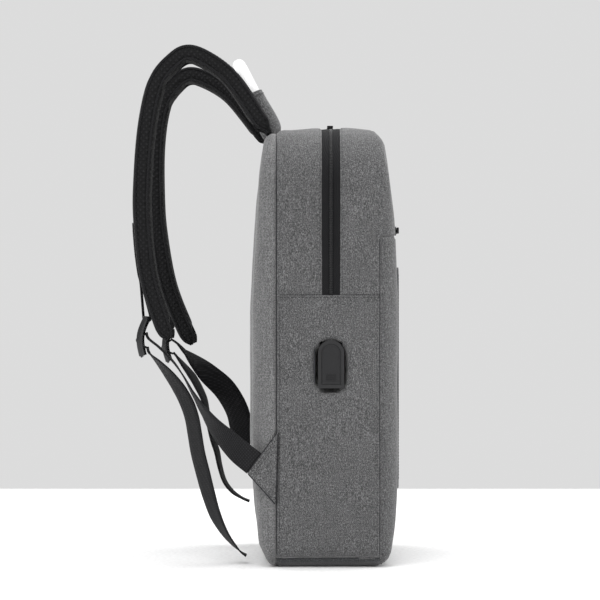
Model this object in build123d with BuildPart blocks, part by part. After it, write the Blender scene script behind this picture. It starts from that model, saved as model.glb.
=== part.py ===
from build123d import *
import os
from math import cos, radians, sin

# Solar backpack. Millimetres. +Z up, +X to the wearer's right, -Y the front, +Y the back.
# The origin is the middle of the base, where it rests on the floor.

# ---- Body ----
body_width = 300.0
body_depth = 148.0
body_height = 442.0
wall = 3.0                 # fabric with its foam
corner_radius = 25.0       # upright corners, seen from above
shoulder_radius = 55.0     # top corners, seen from the front
foot_radius = 22.0         # bottom corners, seen from the front
edge_radius = 6.0          # small corners of the side outline
belly_radius = 150.0       # gentle corners of the side outline
overrun = 0.05             # how far the front and top outlines pass the side outline
half_width = body_width / 2
half_depth = body_depth / 2
drawn_height = 442.0       # the outlines and routes below are drawn for this height
drawn_half_width = 150.0   # and this half width
lift = body_height - drawn_height
narrowing = drawn_half_width - half_width

# ---- Seams ----
rear_seam = 48.5
front_seam = -57.0
pocket_top = 331.0
side_seam = 272.0          # lower end of the main zip
base_fold = 9.0
zip_middle = -6.5

# ---- Main zip ----
tape_width = 9.0
tape_thickness = 1.2
coil_width = 3.6
coil_rise = 0.8
slider_length = 14.0
slider_width = 9.0
slider_height = 4.0
pull_heel = 0.5            # how far the pull passes its pin
pin_radius = 0.45
slider_gap = 0.4
slider_rest = 12.0         # from the middle of the top to each slider
pull_length = 34.0
pull_thickness = 1.8

# ---- Lining and inside ----
lining_thickness = 0.8
fit_gap = 0.2
padding_thickness = 7.0
stiffener_thickness = 1.5
sleeve_wall = 2.0
sleeve_height = 290.0
sleeve_depth = 26.0
base_foam_thickness = 6.0

# ---- Solar panel ----
panel_side = 48.0          # from each side of the body to the panel
panel_width = body_width - 2 * panel_side
panel_height = 224.0
panel_middle = 188.0       # height of its centre
backing_thickness = 0.5
cell_thickness = 0.3
cover_thickness = 0.3
border_width = 12.0
cell_columns = 3
cell_rows = 6
cell_gap = 3.0
junction_size = 46.0
junction_thickness = 6.0
controller_length = 62.0
controller_height = 34.0
controller_thickness = 9.0
lead_diameter = 3.0

# ---- USB port ----
port_height = 203.0
port_width = 26.0
port_length = 48.0
port_rise = 2.0
flap_width = 19.0
flap_length = 40.0
web_thickness = 0.6
flap_thickness = 1.2
flap_gap = 0.35
flap_lift = 0.25
clamp_thickness = 1.2
throat_width = 15.0
throat_length = 30.0
socket_width = 14.5
socket_height = 7.0
socket_depth = 16.0
slot_width = 12.5
slot_height = 5.2
slot_depth = 12.0

# ---- Handle ----
handle_root = (49.5, body_height - 8)
handle_lean = 26.6         # degrees from upright, towards the straps
handle_half_span = half_width - 95
handle_height = 86.0
handle_diameter = 14.0
sleeve_diameter = handle_diameter + 3
sleeve_length = 52.0
handle_bend = handle_half_span - 15
sleeve_clearance = 0.2

# ---- Shoulder straps ----
strap_root = (52.0, body_height - 10)
strap_offset = half_width - 49   # from the middle to each strap's middle
strap_width = 62.0
strap_thickness = 14.0
right_strap_lean = -4.5    # the right strap hangs a little nearer the back
binding_width = 3.0
binding_thickness = 4.0
webbing_width = 25.0
webbing_thickness = 1.6
lock_width = 34.0
lock_length = 42.0
lock_thickness = 5.0
bar_radius = 2.2
eye_wall = 1.8
eye_gap = 0.3
tab_thickness = 2.4

os.makedirs("parts", exist_ok=True)


def save(piece, name):
    piece.part.label = name
    export_step(piece.part, f"parts/{name}.step")


# The side outline of the body, from the back of the base round the top to the front.
def side_outline(inset):
    with BuildSketch(Plane.YZ) as outline:
        with BuildLine():
            Polyline(
                (51, 0), (66, 22), (half_depth, 130), (half_depth - 1, 260), (66, 392 + lift),
                (61, 430 + lift), (46, 437.5 + lift), (6, body_height), (-19, body_height),
                (-51, 438 + lift), (-60, 424 + lift), (-71, 348 + lift), (-half_depth, 240),
                (-half_depth, 120), (-71, 45), (-66, 10), (-57, 0), close=True,
            )
        make_face()
        corners = outline.vertices()
        low = corners.filter_by_position(Axis.Y, -1, 25)
        high = corners.filter_by_position(Axis.Y, body_height - 20, body_height - 3)
        fillet(low + high, edge_radius)
        gentle = outline.vertices().filter_by_position(Axis.Y, 30, body_height - 30)
        fillet(gentle, belly_radius)
        if inset:
            offset(amount=-inset, kind=Kind.INTERSECTION)
    return outline.sketch


# The whole body as one solid, each face moved inwards by the inset.
def body_form(inset):
    width = body_width - 2 * inset
    outline = side_outline(inset)
    with BuildPart() as form:
        extrude(outline, amount=body_width, both=True)
        with BuildSketch(Plane.XZ.offset(-body_depth)) as front:
            with Locations((0, body_height / 2)):
                Rectangle(width, body_height - 2 * inset + overrun)
            fillet(front.vertices().group_by(Axis.Y)[-1], shoulder_radius - inset)
            fillet(front.vertices().group_by(Axis.Y)[0], foot_radius - inset)
        extrude(amount=2 * body_depth, mode=Mode.INTERSECT)
        with BuildSketch(Plane.XY.offset(-10)):
            RectangleRounded(width, body_depth - 2 * inset + overrun, corner_radius - inset)
        extrude(amount=body_height + 20, mode=Mode.INTERSECT)
    return form.part


def keep(x=(-400, 400), y=(-400, 400), z=(-400, 900), mode=Mode.INTERSECT):
    with Locations(((x[0] + x[1]) / 2, (y[0] + y[1]) / 2, (z[0] + z[1]) / 2)):
        Box(x[1] - x[0], y[1] - y[0], z[1] - z[0], mode=mode)


def cut(x=(-400, 400), y=(-400, 400), z=(-400, 900)):
    keep(x, y, z, Mode.SUBTRACT)


outer_form = body_form(0)
inner_form = body_form(wall)
with BuildPart() as fabric:
    add(outer_form)
    add(inner_form, mode=Mode.SUBTRACT)

zip_rear = zip_middle + tape_width
zip_front = zip_middle - tape_width

# ---- Fabric panels ----
with BuildPart() as back_panel:
    add(fabric.part)
    keep(y=(rear_seam, 200))
save(back_panel, "back_panel")

with BuildPart() as rear_gusset:
    add(fabric.part)
    keep(y=(zip_rear, rear_seam), z=(side_seam, 900))
save(rear_gusset, "rear_gusset")

pocket_mouth = 12.0
mouth_half_width = half_width - 32
with BuildPart() as front_upper_panel:
    add(fabric.part)
    keep(y=(-200, zip_front), z=(side_seam, 900))
    cut(y=(-200, front_seam), z=(side_seam - 1, pocket_top))
    cut(
        x=(-mouth_half_width, mouth_half_width), y=(-200, front_seam),
        z=(pocket_top, pocket_top + pocket_mouth),
    )
save(front_upper_panel, "front_upper_panel")

with BuildPart() as front_pocket_panel:
    add(fabric.part)
    keep(y=(-200, front_seam), z=(-10, pocket_top))
save(front_pocket_panel, "front_pocket_panel")

# The throat of the USB port: a slot with a round top, through the left side panel.
port_plane = Plane(origin=(-half_width, zip_middle, port_height), x_dir=(0, -1, 0), z_dir=(-1, 0, 0))


def arch(width, length):
    straight = length - width / 2
    with Locations((0, -width / 4)):
        Rectangle(width, straight)
    with Locations((0, length / 2 - width / 2)):
        Circle(width / 2)


for name, side in (("side_panel_left", -1), ("side_panel_right", 1)):
    with BuildPart() as side_panel:
        add(fabric.part)
        keep(y=(front_seam, rear_seam), z=(base_fold, side_seam))
        keep(x=(-400, 0) if side < 0 else (0, 400))
        if side < 0:
            with BuildSketch(port_plane.offset(-wall * 2)):
                arch(throat_width + 4, throat_length + 4)
            extrude(amount=wall * 3, mode=Mode.SUBTRACT)
    save(side_panel, name)

with BuildPart() as base_panel:
    add(fabric.part)
    keep(y=(front_seam, rear_seam), z=(-10, base_fold))
save(base_panel, "base_panel")

# ---- Inside ----
pocket_wall_thickness = 3.0
lead_hole = (narrowing - 90.0, 162.0)
lead_hole_radius = 3.0
with BuildPart() as pocket_back_wall:
    add(body_form(wall + fit_gap))
    keep(y=(front_seam, front_seam + pocket_wall_thickness), z=(-10, pocket_top))
    with BuildSketch(Plane.XZ.offset(-half_depth)):
        with Locations(lead_hole):
            Circle(lead_hole_radius)
    extrude(amount=body_depth, mode=Mode.SUBTRACT)
save(pocket_back_wall, "pocket_back_wall")

lining_front = front_seam + pocket_wall_thickness + fit_gap
lining_rear = rear_seam + fit_gap
with BuildPart() as lining:
    add(body_form(wall + fit_gap))
    add(body_form(wall + fit_gap + lining_thickness), mode=Mode.SUBTRACT)
    keep(y=(lining_front, lining_rear), z=(base_foam_thickness + wall + 1, 900))
    cut(y=(zip_front - 2, zip_rear + 2), z=(side_seam, 900))
    cut(
        x=(-200, 50 - half_width), y=(zip_middle - 16, zip_middle + 16),
        z=(port_height - 30, port_height + 30),
    )
save(lining, "lining")

with BuildPart() as base_foam:
    add(body_form(wall + fit_gap))
    keep(y=(lining_front, lining_rear), z=(-10, wall + fit_gap + base_foam_thickness))
save(base_foam, "base_foam")

# Foam against the back panel, then the board that keeps the back flat.
padding_front = half_depth - wall - 5 - padding_thickness
padding_half_width = half_width - 30
with BuildPart() as back_padding:
    keep(
        x=(-padding_half_width, padding_half_width), y=(padding_front, padding_front + padding_thickness),
        z=(70, 330), mode=Mode.ADD,
    )
    fillet(back_padding.edges().filter_by(Axis.Y), 20)
save(back_padding, "back_padding")
board_half_width = padding_half_width + 2
with BuildPart() as back_stiffener:
    keep(
        x=(-board_half_width, board_half_width), y=(padding_front - stiffener_thickness, padding_front),
        z=(22, 370), mode=Mode.ADD,
    )
    fillet(back_stiffener.edges().filter_by(Axis.Y), 15)
save(back_stiffener, "back_stiffener")

# A U-shaped laptop sleeve: a front wall with two ends, held to the board.
sleeve_rear = padding_front - stiffener_thickness
sleeve_floor = 22.0
sleeve_half_width = board_half_width + 3
with BuildPart() as laptop_sleeve:
    keep(
        x=(-sleeve_half_width, sleeve_half_width), y=(sleeve_rear - sleeve_depth, sleeve_rear),
        z=(sleeve_floor, sleeve_height), mode=Mode.ADD,
    )
    cut(
        x=(-sleeve_half_width + sleeve_wall, sleeve_half_width - sleeve_wall),
        y=(sleeve_rear - sleeve_depth + sleeve_wall, sleeve_rear + 1),
        z=(sleeve_floor + sleeve_wall, sleeve_height + 1),
    )
save(laptop_sleeve, "laptop_sleeve")
with BuildPart() as laptop_strap:
    keep(
        x=(-webbing_width / 2, webbing_width / 2),
        y=(sleeve_rear - sleeve_depth - webbing_thickness, sleeve_rear),
        z=(sleeve_height - 30, sleeve_height + 8), mode=Mode.ADD,
    )
    cut(y=(sleeve_rear - sleeve_depth, sleeve_rear + 1), z=(sleeve_height - 40, sleeve_height + 6))
save(laptop_strap, "laptop_strap")

# ---- Main zip ----
tape_form = body_form(wall - tape_thickness)
for name, low, high in (
    ("zip_tape_rear", zip_middle, zip_rear), ("zip_tape_front", zip_front, zip_middle),
):
    with BuildPart() as zip_tape:
        add(tape_form)
        add(inner_form, mode=Mode.SUBTRACT)
        keep(y=(low, high), z=(side_seam, 900))
    save(zip_tape, name)

coil_top = body_height + coil_rise
with BuildPart() as zip_coil:
    add(body_form(-coil_rise))
    add(tape_form, mode=Mode.SUBTRACT)
    keep(y=(zip_middle - coil_width / 2, zip_middle + coil_width / 2), z=(side_seam + 2, 900))
save(zip_coil, "zip_coil")


# A slider straddles the coil: a top plate, two cheeks and a bail that holds the pull's pin.
def slider_body(plane):
    cheek = (slider_width - coil_width) / 2 - slider_gap
    with BuildSketch(plane.offset(slider_gap)) as outline:
        RectangleRounded(slider_length, slider_width, 2.5)
    extrude(outline.sketch, amount=1.2)
    for turn in (-1, 1):
        with BuildSketch(plane.offset(-coil_rise - 0.4)) as outline:
            with Locations((0, turn * (slider_width - cheek) / 2)):
                Rectangle(slider_length - 5, cheek)
        extrude(outline.sketch, amount=slider_gap + coil_rise + 0.9)
    for end in (-1, 1):
        with BuildSketch(plane.offset(slider_gap + 1.2)) as outline:
            with Locations((end * 3.4, 0)):
                Rectangle(1.2, 3)
        extrude(outline.sketch, amount=slider_height - 1.2)
    with BuildSketch(plane.offset(slider_gap + slider_height - 1.2)) as outline:
        Rectangle(8, 3)
    extrude(outline.sketch, amount=1.2)


# The pull lies along the plane, with its eye round the bail's crossbar.
def pull_tag(plane, reach):
    eye = slider_gap + 1.2 + 0.25
    with BuildSketch(plane.offset(eye)) as outline:
        with Locations((reach * (pull_length / 2 - pull_heel), 0)):
            Rectangle(pull_length, 6)
    extrude(outline.sketch, amount=1.1)
    with BuildSketch(plane.offset(eye - 1)) as outline:
        with Locations((0, 0)):
            Rectangle(5.2, 3.8)
        with Locations((reach * 3.5, 0)):
            Rectangle(2.2, 3.8)
    extrude(outline.sketch, amount=3.4, mode=Mode.SUBTRACT)
    with BuildSketch(plane.offset(eye + 1.1)) as outline:
        with Locations((reach * (pull_length - 12), 0)):
            RectangleRounded(18, 6, 1.5)
    extrude(outline.sketch, amount=pull_thickness - 1.1)
    pin_start = plane.offset(eye + 0.55).from_local_coords(Vector(0, -2.4, 0))
    with BuildSketch(Plane(origin=pin_start, z_dir=plane.y_dir)) as outline:
        Circle(pin_radius)
    extrude(outline.sketch, amount=4.8)


slider_start = slider_rest + slider_length / 2
for side, reach in (("left", -1), ("right", 1)):
    place = Plane(origin=(reach * slider_start, zip_middle, coil_top), x_dir=(1, 0, 0), z_dir=(0, 0, 1))
    with BuildPart() as zip_slider:
        slider_body(place)
    save(zip_slider, f"zip_slider_{side}")
    with BuildPart() as zip_pull:
        pull_tag(place, reach)
    save(zip_pull, f"zip_pull_{side}")

# ---- Pocket zip ----
pocket_zip_height = pocket_top + pocket_mouth / 2
with BuildPart() as pocket_zip_tape:
    add(tape_form)
    add(inner_form, mode=Mode.SUBTRACT)
    keep(
        x=(-mouth_half_width, mouth_half_width), y=(-200, front_seam),
        z=(pocket_top, pocket_top + pocket_mouth),
    )
save(pocket_zip_tape, "pocket_zip_tape")
with BuildPart() as pocket_zip_coil:
    add(body_form(0))
    add(tape_form, mode=Mode.SUBTRACT)
    keep(
        x=(-mouth_half_width + 4, mouth_half_width - 4), y=(-200, front_seam),
        z=(pocket_zip_height - coil_width / 2, pocket_zip_height + coil_width / 2),
    )
save(pocket_zip_coil, "pocket_zip_coil")
pocket_front = pocket_zip_coil.part.bounding_box().min.Y
pocket_plane = Plane(
    origin=(28 - mouth_half_width, pocket_front, pocket_zip_height), x_dir=(1, 0, 0), z_dir=(0, -1, 0),
)
with BuildPart() as pocket_zip_slider:
    slider_body(pocket_plane)
save(pocket_zip_slider, "pocket_zip_slider")
with BuildPart() as pocket_zip_pull:
    pull_tag(pocket_plane, -1)
save(pocket_zip_pull, "pocket_zip_pull")

# ---- Solar panel on the pocket ----
front_face = -half_depth - fit_gap
solar_plane = Plane(origin=(0, front_face, panel_middle), x_dir=(1, 0, 0), z_dir=(0, -1, 0))
with BuildPart() as solar_backing:
    with BuildSketch(solar_plane):
        RectangleRounded(panel_width, panel_height, 8)
    extrude(amount=backing_thickness)
save(solar_backing, "solar_backing")
cells_width = panel_width - 2 * border_width
cells_height = panel_height - 2 * border_width
cell_width = (cells_width - cell_gap * (cell_columns + 1)) / cell_columns
cell_height = (cells_height - cell_gap * (cell_rows + 1)) / cell_rows
with BuildPart() as solar_cells:
    with BuildSketch(solar_plane.offset(backing_thickness)):
        with GridLocations(cell_width + cell_gap, cell_height + cell_gap, cell_columns, cell_rows):
            Rectangle(cell_width, cell_height)
    extrude(amount=cell_thickness)
save(solar_cells, "solar_cells")
with BuildPart() as solar_cover:
    with BuildSketch(solar_plane.offset(backing_thickness + cell_thickness)):
        Rectangle(cells_width, cells_height)
    extrude(amount=cover_thickness)
save(solar_cover, "solar_cover")
with BuildPart() as solar_border:
    with BuildSketch(solar_plane.offset(backing_thickness)):
        RectangleRounded(panel_width, panel_height, 8)
        Rectangle(cells_width, cells_height, mode=Mode.SUBTRACT)
    extrude(amount=cell_thickness + cover_thickness + 0.2)
save(solar_border, "solar_border")

pocket_inner = -half_depth + wall + 3
with BuildPart() as junction_box:
    keep(
        x=(-junction_size / 2, junction_size / 2), y=(pocket_inner, pocket_inner + junction_thickness),
        z=(panel_middle + 50, panel_middle + 50 + junction_size), mode=Mode.ADD,
    )
    fillet(junction_box.edges().filter_by(Axis.Y), 4)
save(junction_box, "junction_box")
controller_left = narrowing - 100.0
controller_base = 150.0
controller_front = pocket_inner
with BuildPart() as charge_controller:
    keep(
        x=(controller_left, controller_left + controller_length),
        y=(controller_front, controller_front + controller_thickness),
        z=(controller_base, controller_base + controller_height), mode=Mode.ADD,
    )
    fillet(charge_controller.edges().filter_by(Axis.Y), 3)
save(charge_controller, "charge_controller")


# A lead is straight runs joined by arcs, each as large as its runs allow.
def lead(points, name):
    corners = [Vector(*point) for point in points]
    radii = []
    for before, here, after in zip(corners, corners[1:], corners[2:]):
        turn = radians((here - before).get_angle(after - here))
        run = min((here - before).length, (after - here).length)
        radii.append(0.45 * run * (1 + cos(turn)) / sin(turn))
    print(name, "bend radii", [round(radius, 1) for radius in radii])
    with BuildPart() as tube:
        with BuildLine() as path:
            FilletPolyline(*points, radius=radii)
        with BuildSketch(Plane(origin=points[0], z_dir=corners[1] - corners[0])):
            Circle(lead_diameter / 2)
        sweep(path=path.line)
    print(name, "length", round(sum(edge.length for edge in path.line.edges()), 1))
    save(tube, name)


lead_y = pocket_inner + junction_thickness / 2
controller_top = controller_base + controller_height
lead_start = -8.0
lead_reach = lead_start - controller_left - 38
lead([
    (lead_start - share * lead_reach, lead_y, height)
    for share, height in (
        (0, panel_middle + 50), (0, 225), (0.13, 213), (0.37, 206), (0.667, 205), (0.907, 199), (1, 191),
        (1, controller_top),
    )
], "panel_lead")

usb_tail = half_width - wall - 2 - socket_depth
lead((
    (lead_hole[0], controller_front + controller_thickness, lead_hole[1]), (lead_hole[0], -44, lead_hole[1]),
    (lead_hole[0] - 1, -30, 170), (lead_hole[0] - 4, -17, 182), (lead_hole[0] - 11, -8.5, 195),
    (lead_hole[0] - 24, zip_middle, port_height), (-usb_tail, zip_middle, port_height),
), "usb_lead")

# ---- USB port: frame with its collar through the wall, clamp plate, socket and cover ----
with BuildPart() as usb_frame:
    with BuildSketch(port_plane.offset(-wall - clamp_thickness)):
        arch(throat_width + 4 - 2 * fit_gap, throat_length + 4 - 2 * fit_gap)
    extrude(amount=wall + clamp_thickness)
    with BuildSketch(port_plane):
        arch(port_width, port_length)
    extrude(amount=port_rise)
    with BuildSketch(port_plane.offset(web_thickness)):
        arch(flap_width + 2 * flap_gap, flap_length + 2 * flap_gap)
    extrude(amount=port_rise, mode=Mode.SUBTRACT)
    with BuildSketch(port_plane.offset(-wall * 2)):
        arch(throat_width, throat_length)
    extrude(amount=wall * 4, mode=Mode.SUBTRACT)
save(usb_frame, "usb_frame")
with BuildPart() as usb_clamp_plate:
    with BuildSketch(port_plane.offset(-wall - clamp_thickness)):
        arch(port_width, port_length)
        arch(throat_width + 4, throat_length + 4)
    extrude(amount=clamp_thickness)
    with BuildSketch(port_plane.offset(-wall - 2 * clamp_thickness)):
        arch(throat_width + 4, throat_length + 4)
    extrude(amount=3 * clamp_thickness, mode=Mode.SUBTRACT)
save(usb_clamp_plate, "usb_clamp_plate")
socket_face = -1.0
with BuildPart() as usb_socket:
    with BuildSketch(port_plane.offset(socket_face - 2)):
        arch(throat_width - 2 * fit_gap, throat_length - 2 * fit_gap)
    extrude(amount=2)
    with BuildSketch(port_plane.offset(-wall - 2 - socket_depth)):
        Rectangle(socket_height, socket_width)
    extrude(amount=socket_depth + wall + 1)
    with BuildSketch(port_plane.offset(socket_face - slot_depth)):
        Rectangle(slot_height, slot_width)
    extrude(amount=slot_depth + 1, mode=Mode.SUBTRACT)
save(usb_socket, "usb_socket")
with BuildPart() as usb_cover:
    with BuildSketch(port_plane.offset(web_thickness + flap_lift)):
        arch(flap_width, flap_length)
    extrude(amount=flap_thickness)
save(usb_cover, "usb_cover")

# ---- Handle ----
lean = radians(handle_lean)
handle_plane = Plane(
    origin=(0, handle_root[0], handle_root[1]), x_dir=(1, 0, 0), z_dir=(0, -cos(lean), sin(lean)),
)
handle_points = (
    (-handle_half_span, 6), (-handle_half_span + 7, handle_height),
    (handle_half_span - 7, handle_height), (handle_half_span, 6),
)


def handle_tube_between(inner, outer, low, high, side):
    with BuildPart() as tube:
        with BuildLine(handle_plane) as route:
            FilletPolyline(*handle_points, radius=handle_bend)
        with BuildSketch(Plane(origin=route.line @ 0, z_dir=route.line % 0)):
            Circle(outer)
            if inner:
                Circle(inner, mode=Mode.SUBTRACT)
        sweep(path=route.line)
        with BuildSketch(handle_plane.offset(-30)):
            with Locations((side * 100, (low + high) / 2)):
                Rectangle(200 if side else 400, high - low)
        extrude(amount=60, mode=Mode.INTERSECT)
    return tube


tube_radius = handle_diameter / 2
handle_tube = handle_tube_between(0, tube_radius, 8, 120, 0)
save(handle_tube, "handle_tube")
for name, side in (("handle_sleeve_left", -1), ("handle_sleeve_right", 1)):
    handle_sleeve = handle_tube_between(
        tube_radius + sleeve_clearance, sleeve_diameter / 2, 9, sleeve_length, side,
    )
    save(handle_sleeve, name)

# ---- Shoulder straps, drawn in a plane whose origin is the sewn root of the strap ----
pad_line = Spline(
    (14.5, 18), (25.7, 35.9), (44, 61), (66.3, 77.5), (84.6, 83.8), (99.4, 76.5), (116.8, 54.8),
    (127, 12), (131.7, -44.7), (131.7, -84.6), (125.9, -140), (111.7, -187), (104, -204),
)
lock_turn = 6.0            # degrees that the buckle's lower end swings outwards
bar_centre = Vector(125.3 + bar_radius, -183.5)


# A band follows the pad's line at a distance from it, outwards being away from the back.
def band(low, high, start=0.0, end=1.0):
    steps = [start + (end - start) * step / 14 for step in range(15)]
    places = [(pad_line @ step, pad_line % step) for step in steps]
    outer = [place + Vector(-along.Y, along.X) * high for place, along in places]
    inner = [place + Vector(-along.Y, along.X) * low for place, along in places]
    with BuildSketch(Plane.XY) as strip:
        with BuildLine():
            Spline(*outer)
            Line(outer[-1], inner[-1])
            Spline(*reversed(inner))
            Line(inner[0], outer[0])
        make_face()
    return strip.sketch


def strap_place(side):
    tilt = radians(right_strap_lean) if side > 0 else 0
    return Plane(
        origin=(side * strap_offset, strap_root[0], strap_root[1]),
        x_dir=(0, cos(tilt), sin(tilt)), z_dir=(1, 0, 0),
    )


def across_strap(place, sketch, width, middle=0.0):
    face = place.offset(middle - width / 2).location * sketch
    return extrude(face, amount=width, dir=(1, 0, 0), mode=Mode.PRIVATE)


# Webbing that turns as it goes: thin rectangles across the route, joined by flat faces.
def webbing(points, turns):
    with BuildPart() as strip:
        for index, point in enumerate(points):
            here = Vector(*point)
            before = Vector(*points[max(index - 1, 0)])
            after = Vector(*points[min(index + 1, len(points) - 1)])
            along = (after - before).normalized()
            across = Vector(1, 0, 0) - along * along.X
            across = across.normalized().rotate(Axis((0, 0, 0), along), turns[index])
            with BuildSketch(Plane(origin=here, x_dir=across, z_dir=along)):
                Rectangle(webbing_width, webbing_thickness)
        loft(ruled=True)
    return strip


def local_point(place, point, sideways=0.0):
    return place.from_local_coords(Vector(point[0], point[1], sideways))


tab_corners = ((46.5, 136), (77, 94.5), (48.5, 63))
tab_edge = (70.8, 104.6)
tab_middle = drawn_half_width + tab_thickness / 2

half_thick = strap_thickness / 2
for name, side in (("left", -1), ("right", 1)):
    place = strap_place(side)
    with BuildPart() as shoulder_pad:
        add(across_strap(place, band(-half_thick, half_thick), strap_width - 2 * binding_width))
    save(shoulder_pad, f"shoulder_pad_{name}")

    # The binding is a narrower strip along each long edge.
    with BuildPart() as pad_binding:
        edge_band = band(-binding_thickness / 2, binding_thickness / 2)
        for edge in (-1, 1):
            middle = edge * (strap_width - binding_width) / 2
            add(across_strap(place, edge_band, binding_width, middle))
    save(pad_binding, f"pad_binding_{name}")

    # The flat root of the strap, from the top seam to the thick pad.
    with BuildPart() as strap_anchor:
        with BuildSketch(Plane.XY) as root_outline:
            with BuildLine():
                Polyline((3.2, 5), (7.2, 3), (16.6, 15.7), (11.5, 18.9), close=True)
            make_face()
        add(across_strap(place, root_outline.sketch, strap_width - 8))
    save(strap_anchor, f"strap_anchor_{name}")

    # Webbing sewn on the pad's outer face, ending in an eye round the buckle's top bar.
    with BuildPart() as buckle_loop:
        sewn = band(half_thick + fit_gap, half_thick + fit_gap + webbing_thickness, 0.80, 0.90)
        add(across_strap(place, sewn, webbing_width))
        with BuildSketch(Plane.XY) as eye_outline:
            with Locations(bar_centre):
                Circle(bar_radius + eye_gap + eye_wall)
                Circle(bar_radius + eye_gap, mode=Mode.SUBTRACT)
        add(across_strap(place, eye_outline.sketch, webbing_width - 1))
    save(buckle_loop, f"buckle_loop_{name}")

    # The ladder-lock buckle: two rails and three crossbars under the round bar.
    turn = radians(lock_turn)
    bar = local_point(place, (bar_centre.X, bar_centre.Y))
    outward = local_point(place, (bar_centre.X + cos(turn), bar_centre.Y + sin(turn))) - bar
    lock_plane = Plane(origin=bar, x_dir=(1, 0, 0), z_dir=outward)
    with BuildPart() as ladder_lock:
        with BuildSketch(lock_plane.offset(-lock_thickness / 2)) as frame_outline:
            with Locations((0, (lock_length - 4) / 2)):
                Rectangle(lock_width, lock_length - 4)
            for low, high in ((-5, 9), (15, 20), (26, 31)):
                with Locations((0, (low + high) / 2)):
                    Rectangle(lock_width - 7, high - low, mode=Mode.SUBTRACT)
        extrude(amount=lock_thickness)
        bar_end = bar - Vector(lock_width / 2 - 1, 0, 0)
        with BuildSketch(Plane(origin=bar_end, z_dir=(1, 0, 0))) as bar_section:
            Circle(bar_radius)
        extrude(amount=lock_width - 2)
    save(ladder_lock, f"ladder_lock_{name}")

    # The triangular tab sewn in the rear seam. The lower webbing meets its long upper edge.
    with BuildPart() as strap_tab:
        with BuildSketch(Plane.YZ.offset(side * half_width)) as tab_outline:
            with BuildLine():
                Polyline(*tab_corners, close=True)
            make_face()
        extrude(amount=side * tab_thickness)
    save(strap_tab, f"strap_tab_{name}")

left_lower = (
    (101, 177.9, 228), (102, 167, 219), (105, 154, 206), (110, 143, 191), (118, 132, 172), (126, 122, 156),
    (135, 110, 140), (143, 96, 126), (149.5, 84, 115), (tab_middle, tab_edge[0], tab_edge[1]),
)
right_lower = (
    (101, 157, 220), (102, 148.5, 210.5), (105, 138, 200), (111, 124, 187), (120, 108, 172), (129, 98, 157),
    (138, 92, 143), (145, 89, 129), (149.5, 84, 115), (tab_middle, tab_edge[0], tab_edge[1]),
)
left_tail = (
    (101, 178.9, 215), (100, 168, 204), (99, 157, 191), (98, 147, 177), (98, 139, 162), (98, 134, 147),
    (98, 131, 130), (98, 128, 112), (98, 123, 92), (98, 117.5, 71), (98, 110, 48), (98, 99, 28),
    (98, 86, 13), (98, 79, 8),
)
right_tail = (
    (101, 157.5, 206), (100, 149.5, 196), (99, 141, 185), (98, 134, 173), (98, 128, 160), (98, 125, 146),
    (98, 122, 132), (98, 118.5, 117), (98, 114, 103), (98, 111, 88), (98, 106, 72), (98, 98, 61),
    (98, 88, 54), (98, 79, 50),
)
left_lower_turns = (0, 0, 0, 3, 8, 18, 38, 62, 82, 90)
right_lower_turns = (0, 6, 30, 60, 80, 90, 90, 90, 90, 90)
left_tail_turns = (0, 12, 24, 32, 36, 36, 36, 36, 36, 34, 28, 16, 4, 0)
still_height = 116.0
stretch_height = 90.0
right_tail_turns = (0, 8, 14, 14, 12, 10, 10, 10, 10, 8, 6, 4, 0, 0)


# A route stays where it is drawn up to a height; above that it stretches with the body.
def route_points(side, points):
    moved = []
    for x, y, z in points:
        share = min(max((z - still_height) / stretch_height, 0), 1)
        moved.append((side * (x - narrowing), y, z + lift * share))
    return moved


for name, side, lower, lower_turns, tail, tail_turns in (
    ("left", -1, left_lower, left_lower_turns, left_tail, left_tail_turns),
    ("right", 1, right_lower, right_lower_turns, right_tail, right_tail_turns),
):
    lower_webbing = webbing(route_points(side, lower), [side * turn for turn in lower_turns])
    save(lower_webbing, f"lower_webbing_{name}")
    webbing_tail = webbing(route_points(side, tail), [side * turn for turn in tail_turns])
    save(webbing_tail, f"webbing_tail_{name}")
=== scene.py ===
import math

import bmesh
import bpy
from mathutils import Matrix, Vector, noise
from mathutils.bvhtree import BVHTree


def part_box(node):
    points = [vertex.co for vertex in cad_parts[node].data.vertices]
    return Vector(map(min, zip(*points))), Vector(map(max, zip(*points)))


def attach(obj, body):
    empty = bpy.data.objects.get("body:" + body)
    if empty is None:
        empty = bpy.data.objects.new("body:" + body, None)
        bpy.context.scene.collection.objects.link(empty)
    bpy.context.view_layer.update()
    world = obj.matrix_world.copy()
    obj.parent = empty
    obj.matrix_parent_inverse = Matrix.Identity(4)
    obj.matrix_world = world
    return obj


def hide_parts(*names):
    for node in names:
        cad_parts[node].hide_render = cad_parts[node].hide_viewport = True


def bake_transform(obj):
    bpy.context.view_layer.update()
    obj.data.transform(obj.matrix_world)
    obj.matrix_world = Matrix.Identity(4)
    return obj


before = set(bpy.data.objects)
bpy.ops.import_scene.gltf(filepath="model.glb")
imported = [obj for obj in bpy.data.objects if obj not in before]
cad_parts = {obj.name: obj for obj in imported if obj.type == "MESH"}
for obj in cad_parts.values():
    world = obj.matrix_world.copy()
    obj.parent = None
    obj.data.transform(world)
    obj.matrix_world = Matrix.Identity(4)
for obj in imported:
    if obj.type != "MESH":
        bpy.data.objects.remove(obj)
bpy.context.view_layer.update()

MM = 0.001

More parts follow.
